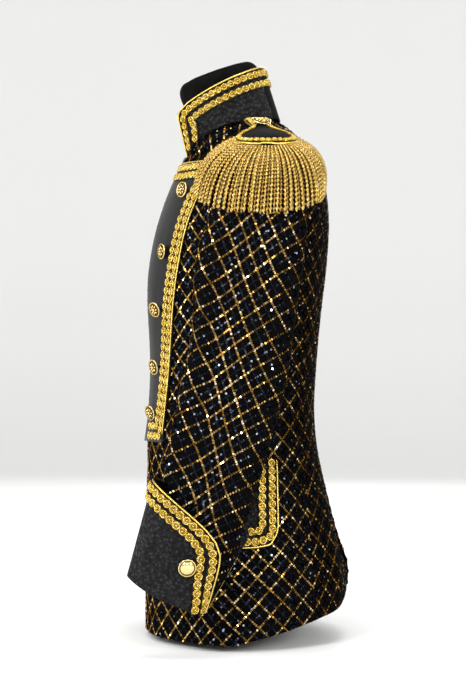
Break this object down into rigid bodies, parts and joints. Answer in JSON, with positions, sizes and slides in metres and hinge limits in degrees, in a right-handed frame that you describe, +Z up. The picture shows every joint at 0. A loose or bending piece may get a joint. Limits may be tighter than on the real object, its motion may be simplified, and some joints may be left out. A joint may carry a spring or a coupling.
{
  "type": "sequin jacket on a dress form",
  "caption": "Black military style sequin jacket with gold braid, fringed epaulettes, satin plastrons and gauntlet cuffs, on a limbless dress form",
  "frame": {"origin": "centre of the dress form's flat base, on the floor", "axes": "+Z up, -Y out of the jacket's front, +X to the wearer's left"},
  "size_m": [0.5772, 0.3272, 0.8806],
  "materials": {
    "sequin_cloth": "black cloth sewn with gold and black sequin lines",
    "black_satin": "satin",
    "black_brocade": "crinkled brocade",
    "velvet_board": "velvet",
    "velvet_form": "velvet",
    "gold_braid": "metallic gold braid",
    "gold_piping": "metallic gold cord",
    "bullion_cord": "twisted metallic bullion",
    "button_metal": "polished"
  },
  "bodies": {
    "root": {"back_left": "sequin_cloth", "back_right": "sequin_cloth", "collar": "black_brocade", "collar_braid_inner": "gold_braid", "collar_braid_outer": "gold_braid", "collar_piping": "gold_piping", "cuff_braid_inner_left": "gold_braid", "cuff_braid_inner_right": "gold_braid", "cuff_braid_outer_left": "gold_braid", "cuff_braid_outer_right": "gold_braid", "cuff_button_left": "button_metal", "cuff_button_right": "button_metal", "cuff_left": "black_brocade", "cuff_piping_left": "gold_piping", "cuff_piping_right": "gold_piping", "cuff_right": "black_brocade", "dress_form": "velvet_form", "epaulette_braid_left": "gold_braid", "epaulette_braid_right": "gold_braid", "epaulette_button_left": "button_metal", "epaulette_button_right": "button_metal", "epaulette_fringe_left": "bullion_cord", "epaulette_fringe_right": "bullion_cord", "epaulette_left": "velvet_board", "epaulette_right": "velvet_board", "flap_braid_inner_left": "gold_braid", "flap_braid_inner_right": "gold_braid", "flap_braid_outer_left": "gold_braid", "flap_braid_outer_right": "gold_braid", "flap_left": "black_brocade", "flap_piping_left": "gold_piping", "flap_piping_right": "gold_piping", "flap_right": "black_brocade", "front_button_left_1": "button_metal", "front_button_left_2": "button_metal", "front_button_left_3": "button_metal", "front_button_left_4": "button_metal", "front_button_left_5": "button_metal", "front_button_right_1": "button_metal", "front_button_right_2": "button_metal", "front_button_right_3": "button_metal", "front_button_right_4": "button_metal", "front_button_right_5": "button_metal", "front_left": "sequin_cloth", "front_right": "sequin_cloth", "plastron_braid_inner_left": "gold_braid", "plastron_braid_inner_right": "gold_braid", "plastron_braid_outer_left": "gold_braid", "plastron_braid_outer_right": "gold_braid", "plastron_left": "black_satin", "plastron_piping_left": "gold_piping", "plastron_piping_right": "gold_piping", "plastron_right": "black_satin", "side_left": "sequin_cloth", "side_right": "sequin_cloth", "sleeve_left": "sequin_cloth", "sleeve_right": "sequin_cloth"}
  },
  "joints": []
}
